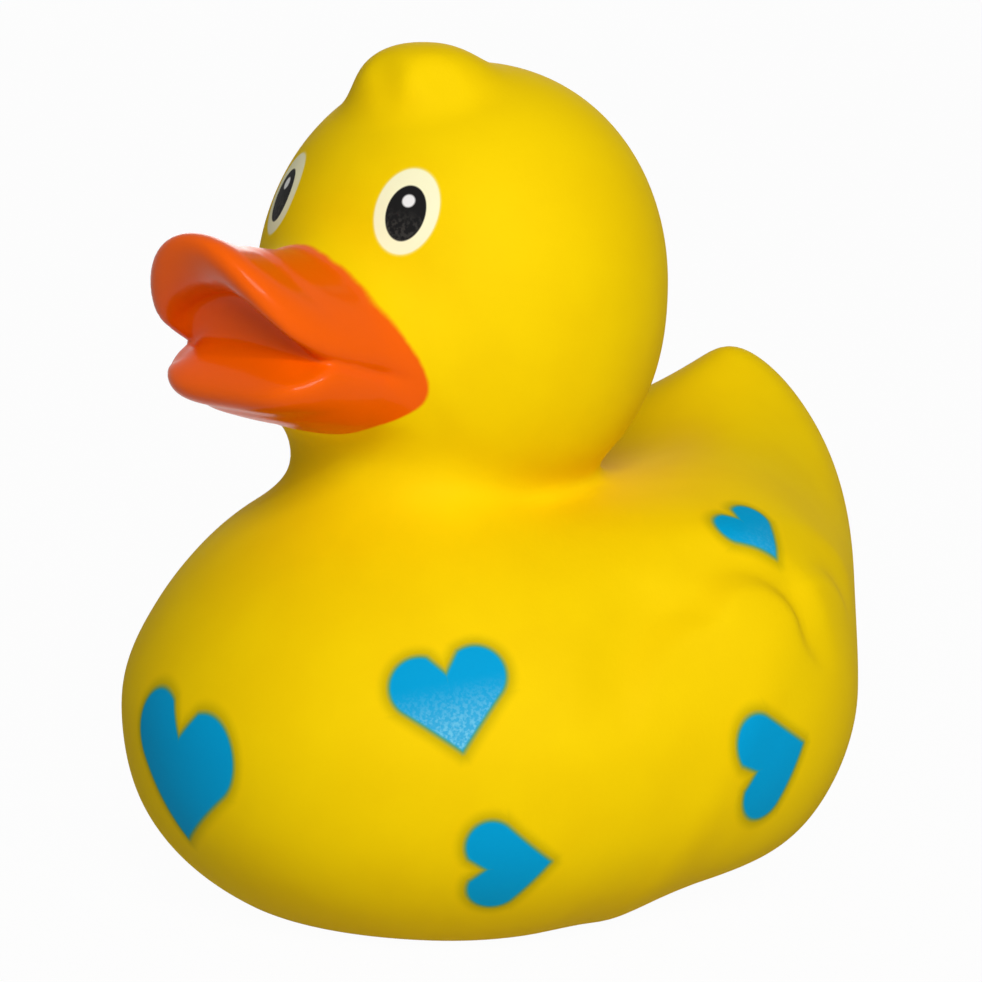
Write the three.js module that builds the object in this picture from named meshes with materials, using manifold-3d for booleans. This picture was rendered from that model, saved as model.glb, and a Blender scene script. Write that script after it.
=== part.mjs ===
// Rubber duck, moulded in one piece and standing on a flat base.
// Millimetres, +Z up. The duck faces -Y and its left side is +X.
// The origin is the middle of the flat base.

import * as THREE from "three";
import Module from "manifold-3d";

// Driving dimensions: body
const BODY_HALF_WIDTH = 34.4;
const BODY_HALF_LENGTH = 37.7;
const BODY_Y = 7.0;
const BODY_EQUATOR = 19.4;
const BODY_CROWN = 41.3;
const BODY_DEPTH = 23.8;
const BODY_POWER_UP = 1.74;
const LEAST_REACH = 5.0;
const BODY_POWER_LOW = 2.29;
const EQUATOR_BLEND = 10.0;
const CHEST_RISE = 6.6;
const CHEST_BACK_Y = BODY_Y + 4.0;
const CHEST_FRONT_Y = BODY_Y - 20.0;
const REAR_RISE = 2.0;
const REAR_RISE_RATE = 0.012;
const REAR_RISE_START = BODY_Y - 20.5;
const REAR_TUCK = 6.7;
const SIDE_TUCK = 5.6;
const SIDE_TUCK_WIDTH = 30.0;
const TUCK_START = BODY_Y - 14.0;
const REAR_TUCK_END = BODY_Y + 24.0;
const SIDE_TUCK_END = BODY_Y + 14.0;

// Driving dimensions: head and neck
const HEAD_RADIUS = 20.3;
const HEAD_UP = 22.6;
const HEAD_DOWN = 21.1;
const HEAD_POWER_UP = 2.09;
const HEAD_POWER_LOW = 2.26;
const HEAD_Y = BODY_Y - 3.1;
const HEAD_Z = BODY_CROWN + 19.1;
const HEAD_LEAN = 0.034;
const NECK_BLEND = 3.6;
const NECK_FRONT_BLEND = 5.0;
const NECK_INSET = 1.0;
const NECK_BACK_Y = HEAD_Y - 2.0;
const NECK_FRONT_Y = HEAD_Y - 18.0;

// Driving dimensions: tail
const TAIL_TIP_Z = BODY_CROWN + 10.8;
const TAIL_SPREAD = 1.43;
const TAIL_ROUND = 2.3;
const TAIL_REAR_Y = BODY_Y + BODY_HALF_LENGTH + 6.1;
const TAIL_PLAN_CURVE = 24.2;
const TAIL_SIDE_CURVE = 0.031;
const TAIL_SIDE_Z = BODY_CROWN - 2.5;
const TAIL_FRONT_Y = BODY_Y + 27.5;
const TAIL_FRONT_Z = BODY_CROWN - 4.9;
const TAIL_FRONT_SWEEP = 0.5;
const TAIL_FRONT_ROUND = 14.0;
const TAIL_FRONT_TILT = 1.2;
const TAIL_FOOT_Y = BODY_Y + 40.0;
const TAIL_FOOT_Z = BODY_CROWN - 10.4;
const TAIL_FOOT_TILT = 38.0 * Math.PI / 180;
const TAIL_ROOF_LEAN = 1.5;
const TAIL_SWEEP_HEIGHT = 12.0;
const TAIL_RIDGE_ROUND = 9.0;
const TAIL_REAR_ROUND = 5.0;
const TAIL_FOOT_ROUND = 6.0;
const TAIL_BLEND = 26.0;

// Driving dimensions: wings, each a puffed pad with a hooked groove and a feather edge behind it
const WING_X = BODY_HALF_WIDTH - 15.1;
const WING_Y = BODY_Y + 8.5;
const WING_Z = BODY_EQUATOR + 2.3;
const WING_THICK = 14.1;
const WING_LENGTH = 13.5;
const WING_HEIGHT = 16.5;
const WING_POWER = 3.0;
const WING_MIDDLE_ROUND = 4.0;
const WING_BLEND = 12.0;
const WING_DISC_Y = WING_Y - 9.0;
const WING_DISC_Z = WING_Z - 1.7;
const WING_DISC_RADIUS = 13.2;
const HOOK_Y = WING_Y - 5.2;
const HOOK_Z = WING_Z + 8.5;
const HOOK_RADIUS = 5.0;
const HOOK_JOIN = 1.5;
const FEATHER_Y = WING_Y + 4.3;
const FEATHER_Z = WING_Z + 6.3;
const FEATHER_RADIUS = 7.4;
const FRONT_GROOVE = 0.5;
const HOOK_GROOVE = 1.0;
const FEATHER_GROOVE = 0.6;
const FRONT_GROOVE_IN = 3.0;
const FRONT_GROOVE_OUT = 5.0;
const HOOK_GROOVE_IN = 1.8;
const HOOK_GROOVE_OUT = 4.0;
const HOOK_START_Y = WING_DISC_Y - 9.0;
const HOOK_FULL_Y = HOOK_Y - 2.0;
const HOOK_END_Y = HOOK_Y + 3.0;
const HOOK_END_LOW_Z = HOOK_Z - 5.0;
const HOOK_END_HIGH_Z = HOOK_Z - 1.0;
const OPEN_SIDE_UP = 0.83;
const OPEN_SIDE_FORWARD = 0.55;
const OPEN_SIDE_START = -0.35;
const OPEN_SIDE_END = 0.4;
const FEATHER_TOP_Z = FEATHER_Z + 5.0;
const FEATHER_GAP = 3.0;
const GROOVE_INNER_X = 10.0;
const GROOVE_OUTER_X = 18.0;

// Driving dimensions: crest, a soft tuft on the crown of the head
const CREST_Y = HEAD_Y - 5.1;
const CREST_Z = HEAD_Z + 18.8;
const CREST_HALF_WIDTH = 7.4;
const CREST_HALF_LENGTH = 6.7;
const CREST_HALF_HEIGHT = 6.0;
const CREST_POWER = 2.3;

// Driving dimensions: bill, with an upper lip, a lower lip and a shallow open mouth
const BILL_ROOT_Y = HEAD_Y - 16.9;
const BILL_LENGTH = 18.9;
const BILL_HALF_WIDTH = 11.9;
const BILL_POWER = 3.0;
const LOWER_LENGTH = 15.6;
const LOWER_HALF_WIDTH = 11.3;
const LOWER_POWER = 4.4;
const CORE_LENGTH = 11.6;
const CORE_HALF_WIDTH = 9.8;
const BILL_TOP_Z = HEAD_Z + 5.7;
const BILL_FLARE = 0.016;
const BILL_FLARE_START = HEAD_Y - 20.4;
const BILL_ARCH = 0.053;
const MOUTH_ROOF_Z = HEAD_Z + 2.7;
const MOUTH_ROOF_ARCH = 0.055;
const MOUTH_FLOOR_Z = HEAD_Z - 1.3;
const MOUTH_FLOOR_ARCH = 0.022;
const MOUTH_OPEN_START = HEAD_Y - 26.2;
const MOUTH_OPEN_END = HEAD_Y - 30.0;
const LIP_OVERLAP = 0.2;
const MOUTH_BLEND = 0.5;
const MOUTH_CORNER_Y = HEAD_Y - 15.4;
const MOUTH_CORNER_Z = HEAD_Z - 6.5;
const MOUTH_LINE_SLOPE = 0.284;
const CHIN_Z = HEAD_Z - 11.0;
const CHIN_RISE = 3.4;
const CHIN_SIDE_RISE = 2.6;
const CHIN_HALF_WIDTH = 10.7;
const CHIN_RISE_START = HEAD_Y - 19.4;
const BILL_FRONT_Y = HEAD_Y - 34.9;
const UPPER_LIP_THICK = 3.2;
const UPPER_LIP_DEPTH = 6.0;
const UPPER_TIP_ROUND = 1.6;
const UPPER_RIM_ROUND = 2.6;
const UPPER_CORE_BLEND = 1.2;
const ROOF_ROUND = 1.0;
const LOWER_LIP_ROUND = 2.6;
const LOWER_CORE_BLEND = 0.8;
const CHIN_ROUND = 2.0;
const CORE_ROUND = 1.5;
const BILL_BACK_ROUND = 1.0;
const LOWER_LIP_THICK = 2.6;
const LOWER_LIP_DEPTH = 4.6;
const LOWER_SIDE_ROUND = 2.2;
const BILL_BACK_Y = HEAD_Y - 9.9;

// Mesh cell sizes
const RELAX_ROUNDS = 3;
const BODY_CELL = 2.9;
const BILL_CELL = 0.9;
const CREST_CELL = 1.4;
const MESH_MARGIN = 3.0;
const UNDER_BASE = 14.0;
const GROUND_DEPTH = 40.0;

const YELLOW = 0xf7c800;

function clamp01(value) {
  return Math.min(1, Math.max(0, value));
}

function mix(from, to, share) {
  return from + (to - from) * share;
}

// Smooth step from 0 at the start to 1 at the end, in either direction.
function ease(start, end, value) {
  const t = clamp01((value - start) / (end - start));
  return t * t * (3 - 2 * t);
}

function smoothMin(a, b, radius) {
  const h = clamp01(0.5 + 0.5 * (b - a) / radius);
  return b + (a - b) * h - radius * h * (1 - h);
}

function smoothMax(a, b, radius) {
  return -smoothMin(-a, -b, radius);
}

// Distance from a rounded solid with an elliptical plan and a vertical section of the given power.
function rounded(x, y, z, rx, ry, rz, power) {
  const g = Math.hypot(x / rx, y / ry) + 1e-9;
  const t = Math.abs(z) / rz + 1e-9;
  const f = (g ** power + t ** power) ** (1 / power);
  const dg = (g / f) ** (power - 1) / g;
  const dt = (t / f) ** (power - 1) / rz;
  const slope = Math.hypot(dg * x / rx ** 2, dg * y / ry ** 2, dt);
  return (f - 1) / Math.max(slope, 1e-3);
}

function body(x, y, z) {
  const behind = Math.max(y - REAR_RISE_START, 0);
  const rise = REAR_RISE * (1 - Math.exp(-REAR_RISE_RATE * behind * behind / REAR_RISE));
  const equator = BODY_EQUATOR + rise;
  const upper = ease(-EQUATOR_BLEND, EQUATOR_BLEND, z - equator);
  const rear = REAR_TUCK * ease(TUCK_START, REAR_TUCK_END, y);
  const side = SIDE_TUCK * (x / SIDE_TUCK_WIDTH) ** 2 * ease(TUCK_START, SIDE_TUCK_END, y);
  const crown = BODY_CROWN + CHEST_RISE * ease(CHEST_BACK_Y, CHEST_FRONT_Y, y);
  const reach = Math.max(mix(BODY_DEPTH - rear - side, crown - equator, upper), LEAST_REACH);
  const power = mix(BODY_POWER_LOW, BODY_POWER_UP, upper);
  return rounded(x, y - BODY_Y, z - equator, BODY_HALF_WIDTH, BODY_HALF_LENGTH, reach, power);
}

function head(x, y, z) {
  const up = z - HEAD_Z;
  const upper = ease(-EQUATOR_BLEND, EQUATOR_BLEND, up);
  const reach = mix(HEAD_DOWN, HEAD_UP, upper);
  const power = mix(HEAD_POWER_LOW, HEAD_POWER_UP, upper);
  return rounded(x, y - HEAD_Y - HEAD_LEAN * up, up, HEAD_RADIUS, HEAD_RADIUS, reach, power);
}

// A wedge between a roof that falls to both sides, a slanting front, a curved rear and a slanting foot.
function tail(x, y, z) {
  const ridge = TAIL_TIP_Z - TAIL_SPREAD * (Math.hypot(x, TAIL_ROUND) - TAIL_ROUND);
  const roof = (z - ridge) / TAIL_ROOF_LEAN;
  const sweep = TAIL_FRONT_SWEEP * ease(TAIL_FRONT_Z - TAIL_SWEEP_HEIGHT, TAIL_FRONT_Z, z);
  const behind = y - TAIL_FRONT_Y + sweep * (Math.hypot(x, TAIL_FRONT_ROUND) - TAIL_FRONT_ROUND);
  const front = Math.cos(TAIL_FRONT_TILT) * (z - TAIL_FRONT_Z) - Math.sin(TAIL_FRONT_TILT) * behind;
  const curve = x * x / TAIL_PLAN_CURVE + TAIL_SIDE_CURVE * (z - TAIL_SIDE_Z) ** 2;
  const rear = y - TAIL_REAR_Y + curve;
  const wedge = smoothMax(smoothMax(roof, front, TAIL_RIDGE_ROUND), rear, TAIL_REAR_ROUND);
  const tilt = TAIL_FOOT_TILT;
  const foot = Math.sin(tilt) * (y - TAIL_FOOT_Y) - Math.cos(tilt) * (z - TAIL_FOOT_Z);
  return smoothMax(wedge, foot, TAIL_FOOT_ROUND);
}

function wing(x, y, z) {
  const out = Math.hypot(x, WING_MIDDLE_ROUND) - WING_X;
  const dy = y - WING_Y;
  const dz = z - WING_Z;
  return rounded(out, dy, dz, WING_THICK, WING_LENGTH, WING_HEIGHT, WING_POWER);
}

// Depth share of a groove along an outline: steep on the inner side and slow on the outer one.
function groove(distance, inner, outer) {
  return distance < 0 ? ease(-inner, 0, distance) : 1 - ease(0, outer, distance);
}

// Depth of the groove around the front and top of the wing, hooked at its end, and of the feather edge.
function wingGrooves(x, y, z) {
  const disc = Math.hypot(y - WING_DISC_Y, z - WING_DISC_Z) - WING_DISC_RADIUS;
  const hook = Math.hypot(y - HOOK_Y, z - HOOK_Z) - HOOK_RADIUS;
  const edge = smoothMin(disc, hook, HOOK_JOIN);
  const hooked = ease(HOOK_START_Y, HOOK_FULL_Y, y);
  const rise = OPEN_SIDE_UP * (z - WING_DISC_Z);
  const facing = (rise - OPEN_SIDE_FORWARD * (y - WING_DISC_Y)) / WING_DISC_RADIUS;
  const openSide = ease(OPEN_SIDE_START, OPEN_SIDE_END, facing);
  const belowHook = 1 - ease(HOOK_END_LOW_Z, HOOK_END_HIGH_Z, z);
  const hookEnd = 1 - ease(HOOK_Y, HOOK_END_Y, y) * belowHook;
  const depth = mix(FRONT_GROOVE, HOOK_GROOVE, hooked) * openSide * hookEnd;
  const inner = mix(FRONT_GROOVE_IN, HOOK_GROOVE_IN, hooked);
  const outer = mix(FRONT_GROOVE_OUT, HOOK_GROOVE_OUT, hooked);
  const feather = Math.hypot(y - FEATHER_Y, z - FEATHER_Z) - FEATHER_RADIUS;
  const featherDepth = FEATHER_GROOVE * ease(FEATHER_Z, FEATHER_TOP_Z, z) * ease(0, FEATHER_GAP, edge);
  const featherCut = featherDepth * groove(feather, HOOK_GROOVE_IN, HOOK_GROOVE_OUT);
  const cut = depth * groove(edge, inner, outer) + featherCut;
  return cut * ease(GROOVE_INNER_X, GROOVE_OUTER_X, x);
}

function crest(x, y, z) {
  const half = [CREST_HALF_WIDTH, CREST_HALF_LENGTH, CREST_HALF_HEIGHT];
  return rounded(x, y - CREST_Y, z - CREST_Z, ...half, CREST_POWER);
}

// Distance from a flat outline, a rounded rectangle whose corners follow the given power.
function outline(x, y, halfWidth, length, power) {
  const a = Math.abs(x) / halfWidth + 1e-9;
  const b = Math.abs(y) / length + 1e-9;
  const f = (a ** power + b ** power) ** (1 / power);
  const slopeX = (a / f) ** (power - 1) / halfWidth;
  const slopeY = (b / f) ** (power - 1) / length;
  return (f - 1) / Math.max(Math.hypot(slopeX, slopeY), 1e-3);
}

function lipCurve(inset, depth) {
  const s = clamp01(inset / depth);
  return 0.4 * s * s * (3 - 2 * s) + 0.6 * s;
}

function bill(xSigned, y, z) {
  const x = Math.abs(xSigned);
  const ahead = Math.min(y - BILL_ROOT_Y, 0);
  const upperEdge = outline(x, ahead, BILL_HALF_WIDTH, BILL_LENGTH, BILL_POWER);
  const lowerEdge = outline(x, ahead, LOWER_HALF_WIDTH, LOWER_LENGTH, LOWER_POWER);
  const coreEdge = outline(x, ahead, CORE_HALF_WIDTH, CORE_LENGTH, LOWER_POWER);
  const flare = BILL_FLARE * Math.max(BILL_FLARE_START - y, 0) ** 2;
  const top = BILL_TOP_Z + flare - BILL_ARCH * x * x;
  const topLean = Math.hypot(1, 2 * BILL_ARCH * x);
  const chinRise = CHIN_RISE * ease(CHIN_RISE_START, BILL_FRONT_Y, y);
  const bottom = CHIN_Z + chinRise + CHIN_SIDE_RISE * (x / CHIN_HALF_WIDTH) ** 4;
  const bottomLean = Math.hypot(1, 4 * CHIN_SIDE_RISE * x ** 3 / CHIN_HALF_WIDTH ** 4);
  const opened = ease(MOUTH_OPEN_START, MOUTH_OPEN_END, y);
  const closed = MOUTH_CORNER_Z + MOUTH_LINE_SLOPE * (MOUTH_CORNER_Y - y);
  const wallTop = MOUTH_ROOF_Z - MOUTH_ROOF_ARCH * x * x;
  const inUpper = lipCurve(-upperEdge, UPPER_LIP_DEPTH);
  const roofOpen = mix(top - UPPER_LIP_THICK * topLean, wallTop, inUpper);
  const wallFoot = MOUTH_FLOOR_Z - MOUTH_FLOOR_ARCH * x * x;
  const inLower = lipCurve(-lowerEdge, LOWER_LIP_DEPTH);
  const floorOpen = mix(bottom + LOWER_LIP_THICK, wallFoot, inLower);
  const roof = mix(closed - LIP_OVERLAP, smoothMax(roofOpen, closed, ROOF_ROUND), opened);
  const floor = mix(closed + LIP_OVERLAP, floorOpen, opened);
  const aboveTop = (z - top) / topLean;
  const belowBottom = (bottom - z) / bottomLean;
  const underRoof = (roof - z) / topLean;
  const overFloor = z - floor;
  const upperTip = smoothMax(aboveTop, underRoof, UPPER_TIP_ROUND);
  const upperLip = smoothMax(upperTip, upperEdge, UPPER_RIM_ROUND);
  const cushion = smoothMax(overFloor, lowerEdge, mix(LOWER_SIDE_ROUND, LOWER_LIP_ROUND, opened));
  const lowerLip = smoothMax(cushion, belowBottom, CHIN_ROUND);
  const core = smoothMax(smoothMax(coreEdge, aboveTop, CORE_ROUND), belowBottom, CORE_ROUND);
  const upper = smoothMin(upperLip, core, UPPER_CORE_BLEND);
  const lower = smoothMin(lowerLip, core, LOWER_CORE_BLEND);
  const lips = smoothMin(upper, lower, MOUTH_BLEND);
  return smoothMax(lips, y - BILL_BACK_Y, BILL_BACK_ROUND);
}

// Body, wings and tail with the fillet of the neck, before the flat base is cut.
// The fillet runs up to a slightly smaller head, so that the head itself closes it with a clean line.
function trunkForm(xSigned, y, z) {
  const x = Math.abs(xSigned);
  const flank = smoothMin(body(x, y, z), wing(x, y, z), WING_BLEND);
  const trunk = smoothMin(flank, tail(x, y, z), TAIL_BLEND) + wingGrooves(x, y, z);
  const neck = NECK_BLEND + NECK_FRONT_BLEND * ease(NECK_BACK_Y, NECK_FRONT_Y, y);
  return smoothMin(trunk, head(x, y, z) + NECK_INSET, neck);
}

function gradient(field, p) {
  const e = 0.02;
  return [
    (field(p[0] + e, p[1], p[2]) - field(p[0] - e, p[1], p[2])) / (2 * e),
    (field(p[0], p[1] + e, p[2]) - field(p[0], p[1] - e, p[2])) / (2 * e),
    (field(p[0], p[1], p[2] + e) - field(p[0], p[1], p[2] - e)) / (2 * e),
  ];
}

// Moves a point onto the surface where the field is zero, by short steps.
function ontoSurface(field, start, cell) {
  let p = start;
  for (let step = 0; step < 4; step += 1) {
    const value = field(p[0], p[1], p[2]);
    const g = gradient(field, p);
    const size = Math.max(Math.hypot(g[0], g[1], g[2]), 0.25);
    const travel = Math.max(-0.3 * cell, Math.min(0.3 * cell, value / size));
    p = p.map((v, i) => v - travel * g[i] / size);
  }
  return p;
}

// Evens out the points of a mesh.
// Each one moves halfway to the mean of its neighbours, then back onto the surface.
function relax(field, positions, faces, cell) {
  const total = positions.length / 3;
  const neighbours = Array.from({ length: total }, () => new Set());
  for (let f = 0; f < faces.length; f += 3) {
    for (let t = 0; t < 3; t += 1) {
      neighbours[faces[f + t]].add(faces[f + (t + 1) % 3]);
      neighbours[faces[f + (t + 1) % 3]].add(faces[f + t]);
    }
  }
  let points = Array.from({ length: total }, (_, i) => positions.slice(3 * i, 3 * i + 3));
  for (let round = 0; round < RELAX_ROUNDS; round += 1) {
    points = points.map((p, i) => {
      const mean = [0, 0, 0];
      for (const n of neighbours[i]) {
        for (let t = 0; t < 3; t += 1) {
          mean[t] += points[n][t] / neighbours[i].size;
        }
      }
      return ontoSurface(field, p.map((v, t) => mix(v, mean[t], 0.5)), cell);
    });
  }
  return points.flat();
}

// Where the corners of a grid face are inside and outside by turns, two sheets of the surface would touch.
// The outer corner nearer the surface is then counted as inside, until no such face is left.
function removePinches(values, nodes) {
  const stride = [1, nodes[0], nodes[0] * nodes[1]];
  let changed = true;
  while (changed) {
    changed = false;
    for (let n = 0; n < values.length; n += 1) {
      const place = [n % nodes[0], Math.floor(n / stride[1]) % nodes[1], Math.floor(n / stride[2])];
      for (let axis = 0; axis < 3; axis += 1) {
        const u = (axis + 1) % 3;
        const v = (axis + 2) % 3;
        if (place[u] + 1 < nodes[u] && place[v] + 1 < nodes[v]) {
          const corners = [n, n + stride[u], n + stride[u] + stride[v], n + stride[v]];
          const inside = corners.map((c) => values[c] < 0);
          if (inside[0] === inside[2] && inside[1] === inside[3] && inside[0] !== inside[1]) {
            const outer = corners.filter((c) => values[c] >= 0);
            const nearer = values[outer[0]] < values[outer[1]] ? outer[0] : outer[1];
            values[nearer] = -1e-3;
            changed = true;
          }
        }
      }
    }
  }
}

// Closed mesh of the surface where the field is zero: one point in each cell that the surface crosses,
// and one quad for each grid edge that it crosses.
function meshOf(field, low, high, cell) {
  const count = low.map((v, i) => Math.ceil((high[i] - v) / cell));
  const size = low.map((v, i) => (high[i] - v) / count[i]);
  const nodes = count.map((n) => n + 1);
  const at = (i, axis) => low[axis] + i * size[axis];
  const nodeIndex = (i, j, k) => i + nodes[0] * (j + nodes[1] * k);
  const cellIndex = (i, j, k) => i + count[0] * (j + count[1] * k);
  const values = new Float64Array(nodes[0] * nodes[1] * nodes[2]);
  for (let k = 0; k < nodes[2]; k += 1) {
    for (let j = 0; j < nodes[1]; j += 1) {
      for (let i = 0; i < nodes[0]; i += 1) {
        values[nodeIndex(i, j, k)] = field(at(i, 0), at(j, 1), at(k, 2));
      }
    }
  }
  removePinches(values, nodes);
  const positions = [];
  const pointOf = new Map();
  for (let k = 0; k < count[2]; k += 1) {
    for (let j = 0; j < count[1]; j += 1) {
      for (let i = 0; i < count[0]; i += 1) {
        const start = crossingMean(values, nodeIndex, at, i, j, k);
        if (start) {
          pointOf.set(cellIndex(i, j, k), positions.length / 3);
          positions.push(...ontoSurface(field, start, cell));
        }
      }
    }
  }
  const faces = [];
  const quad = (a, b, c, d, flip) => {
    const q = [a, b, c, d].map((key) => pointOf.get(key));
    const gap = (m, n) => Math.hypot(...[0, 1, 2].map((t) => positions[3 * m + t] - positions[3 * n + t]));
    const [p0, p1, p2, p3] = flip ? q.slice().reverse() : q;
    if (gap(p0, p2) <= gap(p1, p3)) {
      faces.push(p0, p1, p2, p0, p2, p3);
    } else {
      faces.push(p0, p1, p3, p1, p2, p3);
    }
  };
  for (let k = 1; k < count[2]; k += 1) {
    for (let j = 1; j < count[1]; j += 1) {
      for (let i = 1; i < count[0]; i += 1) {
        const inside = values[nodeIndex(i, j, k)] < 0;
        const here = cellIndex(i, j, k);
        const left = cellIndex(i - 1, j, k);
        const ahead = cellIndex(i, j - 1, k);
        const below = cellIndex(i, j, k - 1);
        if (inside !== values[nodeIndex(i + 1, j, k)] < 0) {
          quad(cellIndex(i, j - 1, k - 1), below, here, ahead, !inside);
        }
        if (inside !== values[nodeIndex(i, j + 1, k)] < 0) {
          quad(cellIndex(i - 1, j, k - 1), left, here, below, !inside);
        }
        if (inside !== values[nodeIndex(i, j, k + 1)] < 0) {
          quad(cellIndex(i - 1, j - 1, k), ahead, here, left, !inside);
        }
      }
    }
  }
  return { positions: relax(field, positions, faces, cell), faces };
}

// Mean of the points where the surface crosses the twelve edges of a cell, or null.
function crossingMean(values, nodeIndex, at, i, j, k) {
  const sum = [0, 0, 0];
  let crossings = 0;
  for (let axis = 0; axis < 3; axis += 1) {
    for (let corner = 0; corner < 4; corner += 1) {
      const a = [i, j, k];
      a[(axis + 1) % 3] += corner & 1;
      a[(axis + 2) % 3] += corner >> 1;
      const b = a.slice();
      b[axis] += 1;
      const va = values[nodeIndex(...a)];
      const vb = values[nodeIndex(...b)];
      if (va < 0 !== vb < 0) {
        const share = va / (va - vb);
        for (let t = 0; t < 3; t += 1) {
          sum[t] += mix(at(a[t], t), at(b[t], t), share);
        }
        crossings += 1;
      }
    }
  }
  return crossings ? sum.map((v) => v / crossings) : null;
}

const wasm = await Module();
wasm.setup();

function solidOf({ positions, faces }) {
  const mesh = new wasm.Mesh({
    numProp: 3,
    vertProperties: new Float32Array(positions),
    triVerts: new Uint32Array(faces),
  });
  return new wasm.Manifold(mesh);
}

function solidOfGeometry(geometry) {
  const positions = [];
  const faces = [];
  const keys = new Map();
  const source = geometry.attributes.position;
  const index = geometry.index.array;
  for (const i of index) {
    const point = [source.getX(i), source.getY(i), source.getZ(i)];
    const key = point.map((v) => v.toFixed(4)).join(" ");
    if (!keys.has(key)) {
      keys.set(key, positions.length / 3);
      positions.push(...point);
    }
    faces.push(keys.get(key));
  }
  return solidOf({ positions, faces });
}

const reach = Math.max(BODY_HALF_WIDTH, WING_X + WING_THICK) + 2 * MESH_MARGIN;
const frontEnd = BODY_Y - BODY_HALF_LENGTH - 2 * MESH_MARGIN;
const rearEnd = TAIL_REAR_Y + 2 * MESH_MARGIN;
const headTop = HEAD_Z + HEAD_UP + 2 * MESH_MARGIN;
const trunkLow = [-reach, frontEnd, -UNDER_BASE];
const trunkSolid = solidOf(meshOf(trunkForm, trunkLow, [reach, rearEnd, headTop], BODY_CELL));
const headReach = HEAD_RADIUS + HEAD_LEAN * HEAD_UP + MESH_MARGIN;
const headLow = [-headReach, HEAD_Y - headReach, HEAD_Z - HEAD_DOWN - MESH_MARGIN];
const headSolid = solidOf(meshOf(head, headLow, [headReach, HEAD_Y + headReach, headTop], BODY_CELL));
const billReach = BILL_HALF_WIDTH + MESH_MARGIN;
const billFront = BILL_ROOT_Y - BILL_LENGTH - MESH_MARGIN;
const billTop = BILL_TOP_Z + 3 * MESH_MARGIN;
const billLow = [-billReach, billFront, CHIN_Z - MESH_MARGIN];
const billHigh = [billReach, BILL_BACK_Y + MESH_MARGIN, billTop];
const billSolid = solidOf(meshOf(bill, billLow, billHigh, BILL_CELL));
const crestHalf = [CREST_HALF_WIDTH, CREST_HALF_LENGTH, CREST_HALF_HEIGHT];
const crestMiddle = [0, CREST_Y, CREST_Z];
const crestLow = crestMiddle.map((v, i) => v - crestHalf[i] - MESH_MARGIN);
const crestHigh = crestMiddle.map((v, i) => v + crestHalf[i] + MESH_MARGIN);
const crestSolid = solidOf(meshOf(crest, crestLow, crestHigh, CREST_CELL));
const groundBlock = new THREE.BoxGeometry(4 * reach, 4 * reach, GROUND_DEPTH);
groundBlock.translate(0, BODY_Y, -GROUND_DEPTH / 2);
const wholeSolid = trunkSolid.add(headSolid).add(billSolid).add(crestSolid);
const duckSolid = wholeSolid.subtract(solidOfGeometry(groundBlock));

function geometryOf(solid) {
  const mesh = solid.getMesh();
  const geometry = new THREE.BufferGeometry();
  geometry.setAttribute("position", new THREE.BufferAttribute(new Float32Array(mesh.vertProperties), 3));
  geometry.setIndex(new THREE.BufferAttribute(new Uint32Array(mesh.triVerts), 1));
  geometry.computeVertexNormals();
  return geometry;
}

const vinyl = new THREE.MeshStandardMaterial({ color: YELLOW, roughness: 0.55, metalness: 0 });
vinyl.name = "yellow_vinyl";

const duck = new THREE.Mesh(geometryOf(duckSolid), vinyl);
duck.name = "duck_body";

const part = new THREE.Group();
part.name = "rubber_duck";
part.add(duck);

export default part;
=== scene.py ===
"""A moulded vinyl duck: one smooth skin with a painted bill, painted eyes and printed hearts."""
import math

import bpy
import numpy as np
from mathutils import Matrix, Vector


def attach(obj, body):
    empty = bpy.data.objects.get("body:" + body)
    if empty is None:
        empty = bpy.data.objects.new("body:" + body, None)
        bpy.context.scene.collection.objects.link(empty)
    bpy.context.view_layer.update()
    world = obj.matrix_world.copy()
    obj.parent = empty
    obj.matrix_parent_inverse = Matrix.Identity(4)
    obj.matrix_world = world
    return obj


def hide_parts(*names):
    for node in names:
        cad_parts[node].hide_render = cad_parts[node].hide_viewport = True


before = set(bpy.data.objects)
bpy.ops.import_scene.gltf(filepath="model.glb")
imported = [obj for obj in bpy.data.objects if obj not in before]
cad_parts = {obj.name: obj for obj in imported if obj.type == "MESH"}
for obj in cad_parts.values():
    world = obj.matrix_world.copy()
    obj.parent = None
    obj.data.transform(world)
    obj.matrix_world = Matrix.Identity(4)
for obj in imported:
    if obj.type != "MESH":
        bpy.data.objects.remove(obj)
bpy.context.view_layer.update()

# Sizes of the moulding, in millimetres
BODY_HALF_WIDTH = 34.4
BODY_HALF_LENGTH = 37.7
BODY_Y = 7.0
BODY_EQUATOR = 19.4
BODY_CROWN = 41.3
BODY_DEPTH = 23.8
BODY_POWER_UP = 1.74
LEAST_REACH = 5.0
BODY_POWER_LOW = 2.29
EQUATOR_BLEND = 10.0
CHEST_RISE = 6.6
CHEST_BACK_Y = BODY_Y + 4.0
CHEST_FRONT_Y = BODY_Y - 20.0
REAR_RISE = 2.0
REAR_RISE_RATE = 0.012
REAR_RISE_START = BODY_Y - 20.5
REAR_TUCK = 6.7
SIDE_TUCK = 5.6
SIDE_TUCK_WIDTH = 30.0
TUCK_START = BODY_Y - 14.0
REAR_TUCK_END = BODY_Y + 24.0
SIDE_TUCK_END = BODY_Y + 14.0

HEAD_RADIUS = 20.3
HEAD_UP = 22.6
HEAD_DOWN = 21.1
HEAD_POWER_UP = 2.09
HEAD_POWER_LOW = 2.26
HEAD_Y = BODY_Y - 3.1
HEAD_Z = BODY_CROWN + 19.1
HEAD_LEAN = 0.034
NECK_BLEND = 3.6
NECK_FRONT_BLEND = 5.0
NECK_BACK_Y = HEAD_Y - 2.0
NECK_FRONT_Y = HEAD_Y - 18.0

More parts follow.
